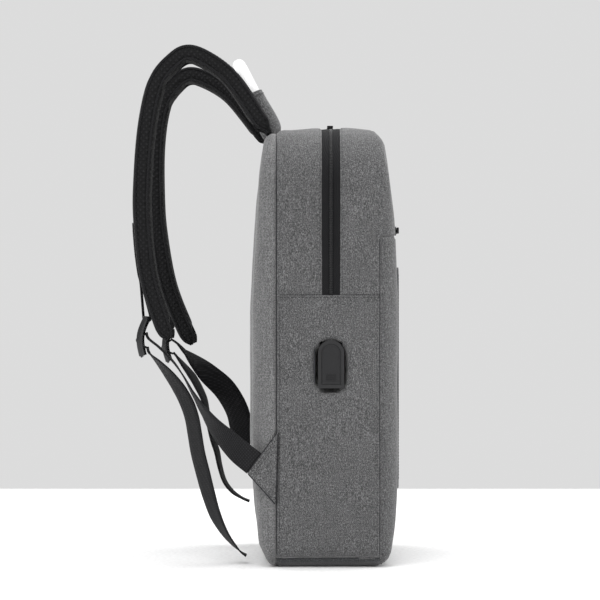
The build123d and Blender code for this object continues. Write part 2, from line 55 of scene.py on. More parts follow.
# ---- Sizes, from the frame ----
FABRIC_NODES = (
    "back_panel", "rear_gusset", "front_upper_panel", "front_pocket_panel",
    "side_panel_left", "side_panel_right", "base_panel",
)
HALF_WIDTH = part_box("back_panel")[1][0]
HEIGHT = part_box("zip_tape_rear")[1][2]
REAR_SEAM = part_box("rear_gusset")[1][1]
FRONT_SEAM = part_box("front_pocket_panel")[1][1]
POCKET_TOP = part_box("front_pocket_panel")[1][2]
SIDE_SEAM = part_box("rear_gusset")[0][2]
BASE_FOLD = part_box("base_panel")[1][2]
ZIP_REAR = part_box("zip_tape_rear")[1][1]
ZIP_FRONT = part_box("zip_tape_front")[0][1]
ZIP_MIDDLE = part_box("zip_tape_rear")[0][1]
MOUTH_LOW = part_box("pocket_zip_tape")[0]
MOUTH_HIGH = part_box("pocket_zip_tape")[1]
PORT_LOW, PORT_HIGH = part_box("usb_frame")
STRAP_ROOT = (52.0, 432.0)
STRAP_LEAN = {-1: 0.0, 1: math.radians(-4.5)}
STRAP_MIDDLE = 101 * MM
STRAP_WIDTH = 62 * MM
PAD_STEPS = 90
BUCKLE_BAR = (127.5, -183.5)
BUCKLE_LENGTH = 38
OUTSIDE = 0.004
SEAM_REACH = 0.0022
SEAM_DEPTH = 0.0016
PAD_LINE = (
    (3.5, 4), (8.5, 10.5), (14.5, 18), (25.7, 35.9), (44, 61), (66.3, 77.5), (84.6, 83.8), (99.4, 76.5),
    (116.8, 54.8), (127, 12), (131.7, -44.7), (131.7, -84.6), (125.9, -140), (111.7, -187), (104, -204),
)


# ---- Camera, floor and light ----
def studio():
    camera_data = bpy.data.cameras.new("camera")
    camera_data.lens = 180
    camera_data.sensor_width = 36
    camera_data.clip_end = 20
    camera = bpy.data.objects.new("camera", camera_data)
    bpy.context.collection.objects.link(camera)
    camera.location = (-3.14, 0.0245, 0.267)
    camera.rotation_euler = (math.radians(90), 0, math.radians(-90))
    bpy.context.scene.camera = camera
    floor_mesh = bpy.data.meshes.new("floor")
    bm = bmesh.new()
    bmesh.ops.create_grid(bm, x_segments=4, y_segments=4, size=1, matrix=Matrix.Translation((-2.45, 0, 0))
                          @ Matrix.Diagonal((3.55, 6, 1, 1)))
    bm.to_mesh(floor_mesh)
    bm.free()
    floor = bpy.data.objects.new("floor", floor_mesh)
    bpy.context.collection.objects.link(floor)
    floor.data.materials.append(plain("floor_paint", (0.80, 0.80, 0.80), 0.8))
    for name, place, aim, size, power in (
        ("key", (-2.0, 0.9, 2.4), (0, 0, 0.25), 1.8, 46), ("fill", (-2.2, -1.6, 1.0), (0, 0, 0.25), 2.0, 12),
        ("top", (0.2, -0.2, 2.6), (0, 0, 0.3), 1.6, 40), ("back", (1.8, 1.8, 1.6), (0, 0, 0.3), 1.6, 26),
        ("front", (0.6, -2.4, 1.2), (0, 0, 0.3), 1.6, 20),
    ):
        data = bpy.data.lights.new(name, "AREA")
        data.size = size
        data.energy = power
        light = bpy.data.objects.new(name, data)
        bpy.context.collection.objects.link(light)
        light.location = place
        light.rotation_euler = (Vector(aim) - Vector(place)).to_track_quat("-Z", "Y").to_euler()
    world = bpy.data.worlds.new("studio")
    world.use_nodes = True
    world.node_tree.nodes["Background"].inputs["Color"].default_value = (0.92, 0.92, 0.92, 1)
    world.node_tree.nodes["Background"].inputs["Strength"].default_value = 0.78
    bpy.context.scene.view_settings.view_transform = "Standard"
    bpy.context.scene.world = world


# ---- Materials ----
def shader_tree(name, roughness, metallic=0.0):
    material = bpy.data.materials.new(name)
    material.use_nodes = True
    tree = material.node_tree
    shader = tree.nodes["Principled BSDF"]
    shader.inputs["Roughness"].default_value = roughness
    shader.inputs["Metallic"].default_value = metallic
    place = tree.nodes.new("ShaderNodeTexCoord").outputs["Object"]
    return material, tree, shader, place


def scaled(tree, place, scale):
    mapping = tree.nodes.new("ShaderNodeMapping")
    mapping.inputs["Scale"].default_value = scale
    tree.links.new(place, mapping.inputs["Vector"])
    return mapping.outputs["Vector"]


def speckle(tree, place, scale, detail=2.0, roughness=0.5):
    texture = tree.nodes.new("ShaderNodeTexNoise")
    texture.inputs["Scale"].default_value = scale
    texture.inputs["Detail"].default_value = detail
    texture.inputs["Roughness"].default_value = roughness
    tree.links.new(place, texture.inputs["Vector"])
    return texture.outputs["Fac"]


def ramp(tree, value, stops):
    node = tree.nodes.new("ShaderNodeValToRGB")
    node.color_ramp.elements[0].position = stops[0][0]
    node.color_ramp.elements[0].color = (*stops[0][1], 1)
    node.color_ramp.elements[1].position = stops[-1][0]
    node.color_ramp.elements[1].color = (*stops[-1][1], 1)
    for position, colour in stops[1:-1]:
        node.color_ramp.elements.new(position).color = (*colour, 1)
    tree.links.new(value, node.inputs["Fac"])
    return node.outputs["Color"]


def mix(tree, first, second, amount, blend="MULTIPLY"):
    node = tree.nodes.new("ShaderNodeMix")
    node.data_type = "RGBA"
    node.blend_type = blend
    node.inputs["Factor"].default_value = amount
    tree.links.new(first, node.inputs["A"])
    tree.links.new(second, node.inputs["B"])
    return node.outputs["Result"]


def weave(tree, place, scale, distortion=0.6):
    threads = []
    for flip in (1, -1):
        wave = tree.nodes.new("ShaderNodeTexWave")
        wave.bands_direction = "DIAGONAL"
        wave.inputs["Scale"].default_value = scale
        wave.inputs["Distortion"].default_value = distortion
        tree.links.new(scaled(tree, place, (1, 1, flip)), wave.inputs["Vector"])
        threads.append(wave.outputs["Color"])
    return mix(tree, threads[0], threads[1], 1.0)


def bumped(tree, shader, height, strength, distance):
    bump = tree.nodes.new("ShaderNodeBump")
    bump.inputs["Strength"].default_value = strength
    bump.inputs["Distance"].default_value = distance
    tree.links.new(height, bump.inputs["Height"])
    tree.links.new(bump.outputs["Normal"], shader.inputs["Normal"])


def plain(name, colour, roughness, metallic=0.0, wear=0.08, bump=0.1, coat=0.0):
    material, tree, shader, place = shader_tree(name, roughness, metallic)
    shader.inputs["Specular IOR Level"].default_value = 0.35
    grain = speckle(tree, place, 240, 3)
    dark = tuple(c * (1 - wear) for c in colour)
    light = tuple(min(1, c * (1 + wear)) for c in colour)
    tree.links.new(ramp(tree, grain, ((0.3, dark), (0.7, light))), shader.inputs["Base Color"])
    shader.inputs["Coat Weight"].default_value = coat
    bumped(tree, shader, speckle(tree, place, 1400, 2), bump, 0.0002)
    return material


# Heather cloth: light and dark yarns in short upright flecks over a plain weave.
def heather(name, dark, middle, light, sheen=0.25):
    material, tree, shader, place = shader_tree(name, 0.92)
    flecks = speckle(tree, scaled(tree, place, (1, 1, 0.55)), 1250, 2, 0.6)
    streaks = speckle(tree, scaled(tree, place, (1, 1, 0.07)), 620, 2)
    crossing = speckle(tree, scaled(tree, place, (0.09, 0.09, 1)), 760, 2)
    yarn = ramp(tree, flecks, ((0.34, dark), (0.5, middle), (0.66, light)))
    tone = ramp(tree, streaks, ((0.35, (0.80, 0.80, 0.80)), (0.65, (1, 1, 1))))
    cross_tone = ramp(tree, crossing, ((0.35, (0.84, 0.84, 0.84)), (0.65, (1, 1, 1))))
    cloud = ramp(tree, speckle(tree, place, 14, 2), ((0.3, (0.90, 0.90, 0.90)), (0.7, (1, 1, 1))))
    colour = mix(tree, mix(tree, mix(tree, yarn, tone, 1), cross_tone, 1), cloud, 1)
    tree.links.new(colour, shader.inputs["Base Color"])
    shader.inputs["Sheen Weight"].default_value = sheen
    shader.inputs["Sheen Roughness"].default_value = 0.5
    bumped(tree, shader, mix(tree, weave(tree, place, 300), flecks, 0.5), 0.55, 0.0004)
    return material


# Black webbing, tape or mesh: a weave of the given pitch, lighter on its ridges and darker between its
# threads.
def woven(name, dark, light, pitch, roughness=0.75, strength=0.8, depth=0.0005):
    material, tree, shader, place = shader_tree(name, roughness)
    threads = weave(tree, place, 0.314 / pitch, 0.2)
    colour = ramp(tree, threads, ((0.1, dark), (0.9, light)))
    haze = ramp(tree, speckle(tree, place, 60, 3), ((0.3, (0.8, 0.8, 0.8)), (0.7, (1, 1, 1))))
    tree.links.new(mix(tree, colour, haze, 1), shader.inputs["Base Color"])
    shader.inputs["Sheen Weight"].default_value = 0.02
    shader.inputs["Specular IOR Level"].default_value = 0.22
    bumped(tree, shader, threads, strength, depth)
    return material


def cells_material():
    material, tree, shader, place = shader_tree("solar_silicon", 0.25)
    wave = tree.nodes.new("ShaderNodeTexWave")
    wave.bands_direction = "Z"
    wave.inputs["Scale"].default_value = 0.314 / 0.0032
    tree.links.new(place, wave.inputs["Vector"])
    silicon, silver = (0.003, 0.006, 0.026), (0.035, 0.040, 0.055)
    fingers = ramp(tree, wave.outputs["Color"], ((0.90, silicon), (0.97, silver)))
    tone = ramp(tree, speckle(tree, place, 40, 4), ((0.3, (0.7, 0.75, 0.9)), (0.7, (1, 1, 1))))
    tree.links.new(mix(tree, fingers, tone, 1), shader.inputs["Base Color"])
    shader.inputs["Coat Weight"].default_value = 0.1
    shader.inputs["Specular IOR Level"].default_value = 0.3
    return material


def film_material():
    material, tree, shader, place = shader_tree("solar_film_clear", 0.18)
    tint = ramp(tree, speckle(tree, place, 30), ((0.3, (0.02, 0.022, 0.028)), (0.7, (0.03, 0.032, 0.04))))
    tree.links.new(tint, shader.inputs["Base Color"])
    shader.inputs["Alpha"].default_value = 0.05
    return material


GREY = heather("heather_grey", (0.024, 0.024, 0.025), (0.086, 0.086, 0.088), (0.210, 0.210, 0.213))
REAR_GREY = heather("heather_grey_rear", (0.060, 0.060, 0.061), (0.145, 0.145, 0.147), (0.260, 0.260, 0.262))
# Base cloth darker than the side cloth: painted shadow standing in for the contact shadow under the bag.
BASE_SHADOW_GREY = heather("heather_grey_base_painted_shadow", (0.016, 0.017, 0.019), (0.040, 0.042, 0.045), (0.090, 0.092, 0.096))
MESH = woven("spacer_mesh", (0.004, 0.004, 0.0045), (0.013, 0.013, 0.014), 0.0030, 0.85, 1.0, 0.001)
BINDING = woven("binding_tape", (0.004, 0.004, 0.005), (0.016, 0.016, 0.017), 0.0012)
WEBBING = woven("strap_webbing", (0.005, 0.005, 0.006), (0.020, 0.020, 0.022), 0.0018)
TAPE = woven("zip_tape_cloth", (0.004, 0.004, 0.005), (0.012, 0.012, 0.013), 0.0012, 0.8)
LINING = woven("lining_cloth", (0.05, 0.05, 0.055), (0.09, 0.09, 0.10), 0.0010)
THREAD = plain("sewing_thread", (0.014, 0.014, 0.016), 0.8)
PALE_THREAD = plain("sewing_thread_pale", (0.24, 0.24, 0.25), 0.8)
COIL = plain("coil_nylon", (0.012, 0.012, 0.013), 0.32)
SLIDER = plain("slider_paint", (0.018, 0.018, 0.020), 0.28, 0.6)
RUBBER = plain("port_rubber_black", (0.013, 0.013, 0.014), 0.48, bump=0.3)
FLAP_RUBBER = plain("port_flap_rubber", (0.008, 0.008, 0.009), 0.55, bump=0.3)
PLASTIC = plain("buckle_black", (0.008, 0.008, 0.009), 0.22, coat=0.3)
HOUSING = plain("housing_black", (0.020, 0.020, 0.021), 0.5, bump=0.3)
TUBE = plain("tube_white", (0.72, 0.72, 0.72), 0.33, wear=0.02, bump=0.03, coat=0.2)
FOAM = plain("foam_grey", (0.45, 0.45, 0.46), 0.95, wear=0.2, bump=0.8)
BOARD = plain("board_grey", (0.25, 0.25, 0.26), 0.6)
LEAD = plain("lead_black", (0.012, 0.012, 0.012), 0.4)
CELLS = cells_material()
FILM = film_material()

CAD_FINISHES = (
    (LINING, ("lining", "pocket_back_wall", "laptop_sleeve")),
    (FOAM, ("back_padding", "base_foam")), (BOARD, ("back_stiffener", "solar_backing")),
    (SLIDER, ("zip_slider_left", "zip_slider_right", "pocket_zip_slider", "zip_pull_left", "zip_pull_right",
              "pocket_zip_pull")),
    (HOUSING, ("junction_box", "charge_controller", "usb_socket", "usb_clamp_plate")),
    (LEAD, ("panel_lead", "usb_lead")), (RUBBER, ("usb_frame",)), (TUBE, ("handle_tube",)),
    (CELLS, ("solar_cells",)), (FILM, ("solar_cover",)), (WEBBING, ("laptop_strap",)),
)
for finish, nodes in CAD_FINISHES:
    for node in nodes:
        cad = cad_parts[node]
        for cad_slot in cad.material_slots:
            cad_slot.material = finish

studio()


# ---- Making pieces ----
def piece(name, bm, material, body, nodes=(), smooth=True):
    mesh = bpy.data.meshes.new(name)
    for face in bm.faces:
        face.smooth = smooth
    bm.to_mesh(mesh)
    bm.free()
    made = bpy.data.objects.new(name, mesh)
    bpy.context.collection.objects.link(made)
    mesh.materials.append(material)
    if body:
        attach(made, body)
    if nodes:
        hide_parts(*nodes)
    return made


def modifier(made, kind, **settings):
    added = made.modifiers.new(kind.lower(), kind)
    for key, value in settings.items():
        setattr(added, key, value)
    return added


def smooth_points(points, count):
    spots = [Vector(point) for point in points]
    spots = [spots[0] * 2 - spots[1]] + spots + [spots[-1] * 2 - spots[-2]]
    spans = len(spots) - 3
    line = []
    for step in range(count + 1):
        place = step / count * spans
        index = min(int(place), spans - 1)
        t = place - index
        a, b, c, d = spots[index:index + 4]
        line.append(0.5 * ((2 * b) + (c - a) * t + (2 * a - 5 * b + 4 * c - d) * t * t
                           + (3 * b - a - 3 * c + d) * t * t * t))
    return line


# Sweeps a closed section along a line by extruding it from place to place.
def swept(bm, line, sides, cap=True):
    rings = []
    for index, here in enumerate(line):
        along = (line[min(index + 1, len(line) - 1)] - line[max(index - 1, 0)]).normalized()
        corners = sides(index, here, along)
        rings.append([bm.verts.new(corner) for corner in corners])
    for first, second in zip(rings, rings[1:]):
        for corner in range(len(first)):
            follow = (corner + 1) % len(first)
            bm.faces.new((first[corner], first[follow], second[follow], second[corner]))
    if cap:
        bm.faces.new(rings[0])
        bm.faces.new(list(reversed(rings[-1])))
    bmesh.ops.recalc_face_normals(bm, faces=bm.faces)


def round_sides(radius, facets=8):
    def sides(index, here, along):
        across = along.cross(Vector((0.13, 0.31, 0.94))).normalized()
        up = along.cross(across)
        turns = [2 * math.pi * step / facets for step in range(facets)]
        return [here + (across * math.cos(turn) + up * math.sin(turn)) * radius for turn in turns]
    return sides


def cord_piece(name, line, radius, material, body, facets=8):
    bm = bmesh.new()
    swept(bm, line, round_sides(radius, facets))
    return piece(name, bm, material, body)


# A row of raised stitches along a line, each a short thread pressed into the cloth.
def stitch_row(name, line, material, body, pitch=3.4, length=2.2, thickness=0.45):
    bm = bmesh.new()
    travelled = 0.0
    wanted = 0.0
    for start, stop in zip(line, line[1:]):
        run = (stop - start).length
        if run < 1e-7:
            continue
        along = (stop - start).normalized()
        turn = along.to_track_quat("X", "Z").to_matrix().to_4x4()
        while wanted <= travelled + run:
            place = start + along * (wanted - travelled)
            size = Matrix.Diagonal((length * MM, thickness * MM, thickness * MM, 1))
            bmesh.ops.create_cube(bm, size=1, matrix=Matrix.Translation(place) @ turn @ size)
            wanted += pitch * MM
        travelled += run
    bmesh.ops.bevel(bm, geom=bm.edges[:], offset=0.12 * MM, segments=1, profile=0.5, affect="EDGES",
                    material=-1)
    return piece(name, bm, material, body)


# ---- The bag's cloth ----
def node_tree_of_body():
    bm = bmesh.new()
    for node in FABRIC_NODES + ("zip_tape_rear", "zip_tape_front", "pocket_zip_tape"):
        bm.from_mesh(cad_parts[node].data)
    tree = BVHTree.FromBMesh(bm)
    bm.free()
    return tree


def near(value, seam, width):
    return math.exp(-((value - seam) / width) ** 2)


def body_cloth():
    tree = node_tree_of_body()
    low, high = Vector(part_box("back_panel")[0]), Vector(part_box("back_panel")[1])
    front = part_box("front_pocket_panel")[0][1]
    low.y = front
    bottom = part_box("base_panel")[0][2]
    bm = bmesh.new()
    middle = Vector((0, (front + high.y) / 2, (bottom + HEIGHT) / 2))
    size = Matrix.Diagonal((2 * HALF_WIDTH + 0.02, high.y - front + 0.02, HEIGHT - bottom + 0.02, 1))
    bmesh.ops.create_cube(bm, size=1, matrix=Matrix.Translation(middle) @ size)
    columns, layers, rows = 44, 26, 66
    cuts = [(0, -HALF_WIDTH + step * 2 * HALF_WIDTH / columns) for step in range(1, columns)]
    cuts += [(1, front + step * (high.y - front) / layers) for step in range(1, layers)]
    cuts += [(2, bottom + step * (HEIGHT - bottom) / rows) for step in range(1, rows)]
    for axis, place in cuts:
        bisect(bm, axis, place)
    core_low = Vector((-HALF_WIDTH + 0.027, -0.047, bottom + 0.024))
    core_high = Vector((HALF_WIDTH - 0.027, 0.047, HEIGHT - 0.057))
    for vert in bm.verts:
        core = Vector([min(max(vert.co[i], core_low[i]), core_high[i]) for i in range(3)])
        way = (core - vert.co).normalized()
        spot = tree.ray_cast(vert.co - way * 0.01, way)[0]
        vert.co = spot if spot else vert.co
    bm.normal_update()
    for _ in range(2):
        bmesh.ops.smooth_vert(bm, verts=bm.verts, factor=0.35, use_axis_x=True, use_axis_y=True,
                              use_axis_z=True)
    seams = [(1, REAR_SEAM), (1, FRONT_SEAM), (1, ZIP_REAR), (1, ZIP_FRONT), (2, SIDE_SEAM), (2, BASE_FOLD),
             (2, POCKET_TOP), (2, MOUTH_HIGH[2]), (0, MOUTH_LOW[0]), (0, MOUTH_HIGH[0]),
             (1, ZIP_MIDDLE), (1, PORT_LOW[1]), (1, PORT_HIGH[1]), (2, PORT_LOW[2]), (2, PORT_HIGH[2])]
    for axis, seam in seams:
        for away in (-7, -3.5, -1.4, 0, 1.4, 3.5, 7):
            bisect(bm, axis, seam + away * MM)
    bm.normal_update()
    for vert in bm.verts:
        vert.co += vert.normal * cloth_relief(vert.co)
        vert.co.z = max(vert.co.z, 0)
    bm.normal_update()
    return bm


def bisect(bm, axis, place):
    normal = [0, 0, 0]
    normal[axis] = 1
    point = [0, 0, 0]
    point[axis] = place
    bmesh.ops.bisect_plane(bm, geom=bm.verts[:] + bm.edges[:] + bm.faces[:], plane_co=point, plane_no=normal)


# How far the cloth stands in or out: seams draw it in, foam and slack push it out.
def cloth_relief(spot):
    x, y, z = spot
    relief = 0.0
    groove = near(y, REAR_SEAM, SEAM_REACH)
    if z < POCKET_TOP + 0.001:
        groove = max(groove, near(y, FRONT_SEAM, SEAM_REACH))
        if y < FRONT_SEAM:
            groove = max(groove, near(z, POCKET_TOP, SEAM_REACH))
    if z > SIDE_SEAM - 0.001:
        groove = max(groove, near(y, ZIP_REAR, 0.002) * 0.5, near(y, ZIP_FRONT, 0.002) * 0.5)
    if FRONT_SEAM < y < REAR_SEAM:
        groove = max(groove, near(z, SIDE_SEAM, 0.0018) * 0.8, near(z, BASE_FOLD, 0.002))
    relief -= groove * SEAM_DEPTH
    beside = near(y, REAR_SEAM + 0.007, 0.005) + near(y, REAR_SEAM - 0.007, 0.005)
    relief += 0.0007 * beside
    relief += 0.0012 * noise.noise(spot * 9.0)
    relief += 0.0005 * noise.noise(spot * 34.0)
    if y > REAR_SEAM and abs(x) > HALF_WIDTH - 0.03:
        relief += 0.0016 * noise.noise(Vector((x * 10, y * 60, z * 7)))
    pucker = near(z, SIDE_SEAM, 0.012) * (FRONT_SEAM < y < REAR_SEAM)
    relief += 0.0007 * pucker * noise.noise(Vector((x * 20, y * 130, 3.0)))
    if abs(x) > HALF_WIDTH - 0.012:
        ring = math.hypot((y - ZIP_MIDDLE) / 0.024, (z - (PORT_LOW[2] + PORT_HIGH[2]) / 2) / 0.034)
        if x < 0:
            relief += 0.0012 * math.exp(-((ring - 0.95) / 0.28) ** 2)
            if ring < 0.75:
                relief -= 0.0006
    if y > REAR_SEAM + 0.012:
        channel = near(x, 0, 0.009)
        for height in (0.135, 0.275):
            channel = max(channel, near(z, height, 0.007) * (abs(x) < 0.105))
        edge = 1 / (1 + math.exp(-(0.118 - abs(x)) * 260)) / (1 + math.exp(-(z - 0.05) * 220))
        relief += edge / (1 + math.exp((z - 0.375) * 220)) * (0.0022 - 0.0042 * channel)
    return relief


def cloth_panel(bm, name, wanted, material, nodes):
    part = bm.copy()
    outside = [face for face in part.faces if not wanted(face.calc_center_median())]
    bmesh.ops.delete(part, geom=outside, context="FACES")
    made = piece(name, part, material, "bag", nodes)
    modifier(made, "SOLIDIFY", thickness=1.6 * MM, offset=-1, use_even_offset=False)
    return made


def inside_port(c):
    return c.x < -HALF_WIDTH + 0.01 and PORT_LOW[1] + 0.0015 < c.y < PORT_HIGH[1] - 0.0015 and \
        PORT_LOW[2] + 0.0015 < c.z < PORT_HIGH[2] - 0.0015


def in_mouth(c):
    return c.y < FRONT_SEAM and MOUTH_LOW[0] < c.x < MOUTH_HIGH[0] and POCKET_TOP < c.z < MOUTH_HIGH[2]


def make_cloth():
    bm = body_cloth()
    side = lambda c: FRONT_SEAM < c.y < REAR_SEAM and BASE_FOLD < c.z < SIDE_SEAM
    cloth_panel(bm, "back_cloth", lambda c: c.y > REAR_SEAM, REAR_GREY, ["back_panel"])
    cloth_panel(bm, "rear_gusset_cloth", lambda c: ZIP_REAR < c.y < REAR_SEAM and c.z > SIDE_SEAM,
                GREY, ["rear_gusset"])
    cloth_panel(bm, "front_upper_cloth",
                lambda c: c.y < ZIP_FRONT and c.z > SIDE_SEAM and not in_mouth(c)
                and not (c.y < FRONT_SEAM and c.z < POCKET_TOP),
                GREY, ["front_upper_panel"])
    cloth_panel(bm, "front_pocket_cloth", lambda c: c.y < FRONT_SEAM and c.z < POCKET_TOP,
                GREY, ["front_pocket_panel"])
    cloth_panel(bm, "side_cloth_left", lambda c: side(c) and c.x < 0 and not inside_port(c), GREY,
                ["side_panel_left"])
    cloth_panel(bm, "side_cloth_right", lambda c: side(c) and c.x > 0, GREY,
                ["side_panel_right"])
    # The base panel takes the darker heather, painted shadow where the bag stands on the floor.
    cloth_panel(bm, "base_cloth", lambda c: FRONT_SEAM < c.y < REAR_SEAM and c.z < BASE_FOLD,
                BASE_SHADOW_GREY, ["base_panel"])
    over_tape = lambda c: c.z > SIDE_SEAM
    cloth_panel(bm, "tape_cloth_rear", lambda c: ZIP_MIDDLE < c.y < ZIP_REAR and over_tape(c), TAPE,
                ["zip_tape_rear"])
    cloth_panel(bm, "tape_cloth_front", lambda c: ZIP_FRONT < c.y < ZIP_MIDDLE and over_tape(c), TAPE,
                ["zip_tape_front"])
    cloth_panel(bm, "pocket_tape_cloth", in_mouth, TAPE, ["pocket_zip_tape"])
    tree = BVHTree.FromBMesh(bm)
    bm.free()
    return tree


CLOTH = make_cloth()


# A line laid on the cloth: each point is cast onto it, along the way to the middle of the bag.
def on_cloth(points, lift):
    line = []
    for point in points:
        start = Vector(point)
        core = Vector((min(max(start.x, -0.12), 0.12), min(max(start.y, -0.045), 0.045),
                       min(max(start.z, 0.03), HEIGHT - 0.06)))
        way = (core - start).normalized()
        hit, normal, _, _ = CLOTH.ray_cast(start - way * 0.03, way)
        if hit:
            line.append(hit + normal * lift)
    return line


# The upright path of a seam at one depth: up one side, over the top and down the other.
def over_the_top(y, low, step=0.006):
    points = []
    rise = int((HEIGHT - low) / step)
    for index in range(rise + 1):
        points.append((-HALF_WIDTH - OUTSIDE, y, low + index * step))
    corner = 0.055
    points = [p for p in points if p[2] < HEIGHT - corner]
    for turn in range(0, 91, 6):
        angle = math.radians(turn)
        points.append((-HALF_WIDTH + corner - math.cos(angle) * (corner + OUTSIDE), y,
                       HEIGHT - corner + math.sin(angle) * (corner + OUTSIDE)))
    across = [(-HALF_WIDTH + corner + 0.006 * i, y, HEIGHT + OUTSIDE) for i in range(1, 16)]
    points += across
    return points + [(-x, y, z) for x, y, z in reversed(points)]


def make_seams():
    rear = on_cloth(over_the_top(REAR_SEAM, 0.01), -0.0002)
    cord_piece("seam_rear", rear, 0.0006, THREAD, "bag", 5)
    for name, sign in (("left", -1), ("right", 1)):
        side_x = sign * (HALF_WIDTH + OUTSIDE)
        front = on_cloth([(side_x, FRONT_SEAM, 0.010 + 0.006 * i) for i in range(54)], -0.0002)
        cord_piece(f"seam_front_{name}", front, 0.0006, THREAD, "bag", 5)
        level = [(side_x, FRONT_SEAM + 0.002 + 0.004 * i, SIDE_SEAM) for i in range(26)]
        cord_piece(f"seam_side_{name}", on_cloth(level, -0.0003), 0.0005, THREAD, "bag", 5)
        stitches = [(side_x, y, SIDE_SEAM - 0.0025) for _, y, _ in level]
        stitch_row(f"side_stitches_{name}", on_cloth(stitches, 0.0001), THREAD, "bag", 3.6, 2.2)
        for label, depth in (("rear", REAR_SEAM - 0.0035), ("front", FRONT_SEAM + 0.0035)):
            row = on_cloth([(side_x, depth, 0.012 + 0.006 * i) for i in range(43)], 0.00005)
            stitch_row(f"{label}_stitches_{name}", row, THREAD, "bag", 3.4, 2.2, 0.35)
    top = on_cloth([(-0.128 + 0.004 * i, -HALF_WIDTH / 2, POCKET_TOP - 0.0035) for i in range(65)], 0.0001)
    stitch_row("pocket_stitches", top, THREAD, "bag")
    for label, depth in (("zip_rear", ZIP_REAR + 0.0022), ("zip_front", ZIP_FRONT - 0.0022)):
        row = on_cloth(over_the_top(depth, SIDE_SEAM + 0.004), 0.00005)
        stitch_row(f"{label}_stitches", row, THREAD, "bag", 3.4, 2.2, 0.35)


# ---- Zip coils: small nylon turns side by side ----
def coil_teeth(name, line, across, node, width):
    bm = bmesh.new()
    travelled = 0.0
    wanted = 0.0
    for start, stop in zip(line, line[1:]):
        run = (stop - start).length
        along = (stop - start).normalized()
        turn = Matrix((along, across, along.cross(across))).transposed().to_4x4()
        while wanted <= travelled + run:
            place = Matrix.Translation(start + along * (wanted - travelled)) @ turn
            bmesh.ops.create_cube(bm, size=1, matrix=place @ Matrix.Diagonal((0.00125, width, 0.0018, 1)))
            wanted += 0.00175
        travelled += run
    bmesh.ops.bevel(bm, geom=bm.edges[:], offset=0.0004, segments=1, profile=0.5, affect="EDGES", material=-1)
    return piece(name, bm, COIL, "bag", [node])


def make_zips():
    coil = [Vector(p) for p in over_the_top(ZIP_MIDDLE, SIDE_SEAM + 0.002, 0.004)]
    inward = 0.0045
    line = []
    for index, here in enumerate(coil):
        along = (coil[min(index + 1, len(coil) - 1)] - coil[max(index - 1, 0)]).normalized()
        line.append(here + Vector((0, 1, 0)).cross(along) * -inward)
    if abs(line[0].x) > abs(coil[0].x):
        line = [2 * a - b for a, b in zip(coil, line)]
    coil_teeth("main_coil", line, Vector((0, 1, 0)), "zip_coil", 0.0036)
    low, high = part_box("pocket_zip_coil")
    middle = (low[2] + high[2]) / 2
    row = [Vector((low[0] + (high[0] - low[0]) * i / 20, low[1] + 0.0007, middle)) for i in range(21)]
    coil_teeth("pocket_coil", row, Vector((0, 0, 1)), "pocket_zip_coil", 0.0036)


make_seams()
make_zips()


# ---- Shoulder straps ----
def strap_point(side, spot, sideways=0.0):
    tilt = STRAP_LEAN[side]
    u, v = spot[0], spot[1]
    return Vector((side * STRAP_MIDDLE + sideways,
                   (STRAP_ROOT[0] + u * math.cos(tilt) - v * math.sin(tilt)) * MM,
                   (STRAP_ROOT[1] + u * math.sin(tilt) + v * math.cos(tilt)) * MM))


def pad_route(side, count=PAD_STEPS):
    flat = smooth_points([(u, v, 0) for u, v in PAD_LINE], count)
    line = [strap_point(side, spot) for spot in flat]
    outward = []
    for index in range(len(line)):
        along = (line[min(index + 1, len(line) - 1)] - line[max(index - 1, 0)]).normalized()
        outward.append(Vector((1, 0, 0)).cross(along).normalized())
    if outward[len(outward) // 2].y < 0:
        outward = [-way for way in outward]
    return line, outward


# Half width and half thickness of the pad along its length, from its sewn root (0) to its end (1).
def pad_size(share, trim=0.0):
    root = min(1, max(0, (share - 0.02) / 0.09))
    root = root * root * (3 - 2 * root)
    tail = min(1, (1 - share) / 0.05)
    half = 0.0245 + 0.0065 * root - 0.0045 * (1 - tail) ** 2
    thick = 0.0028 + 0.0042 * root - 0.0044 * (1 - tail) ** 2
    return half - trim, thick - trim * 0.6


def pad_section(line, outward, trim):
    def sides(index, here, along):
        half, thick = pad_size(index / (len(line) - 1), trim)
        corner = min(0.0022, thick * 0.6)
        across = Vector((1, 0, 0))
        ring = []
        for sx, st in ((1, 1), (-1, 1), (-1, -1), (1, -1)):
            bend = [(sx * half, st * (thick - corner)), (sx * (half - corner), st * thick)]
            ring += bend[::1 if sx * st > 0 else -1]
            if st * sx > 0:
                ring += [(sx * half * 0.5, st * (thick + 0.0006)), (0, st * (thick + 0.0009)),
                         (-sx * half * 0.5, st * (thick + 0.0006))]
        return [here + across * a + outward[index] * b for a, b in ring]
    return sides


def mesh_of(made):
    graph = bpy.context.evaluated_depsgraph_get()
    return bpy.data.meshes.new_from_object(made.evaluated_get(graph))


# Foam swells its cover: remesh evenly, inflate as cloth, and keep each point within the cap.
def swollen(name, bm, cap):
    mesh = bpy.data.meshes.new(name + "_start")
    bm.to_mesh(mesh)
    bm.free()
    work = bpy.data.objects.new(name + "_start", mesh)
    bpy.context.collection.objects.link(work)
    modifier(work, "REMESH", mode="VOXEL", voxel_size=0.0042)
    even = mesh_of(work)
    bpy.data.objects.remove(work)
    work = bpy.data.objects.new(name + "_cloth", even)
    bpy.context.collection.objects.link(work)
    cloth = modifier(work, "CLOTH")
    cloth.settings.use_pressure = True
    cloth.settings.uniform_pressure_force = 4
    cloth.settings.quality = 4
    cloth.settings.effector_weights.gravity = 0
    scene = bpy.context.scene
    for step in range(1, 21):
        scene.frame_set(step)
    swelled = mesh_of(work)
    for before, after in zip(even.vertices, swelled.vertices):
        move = after.co - before.co
        if move.length > cap:
            after.co = before.co + move.normalized() * cap
    bpy.data.objects.remove(work)
    scene.frame_set(1)
    return swelled


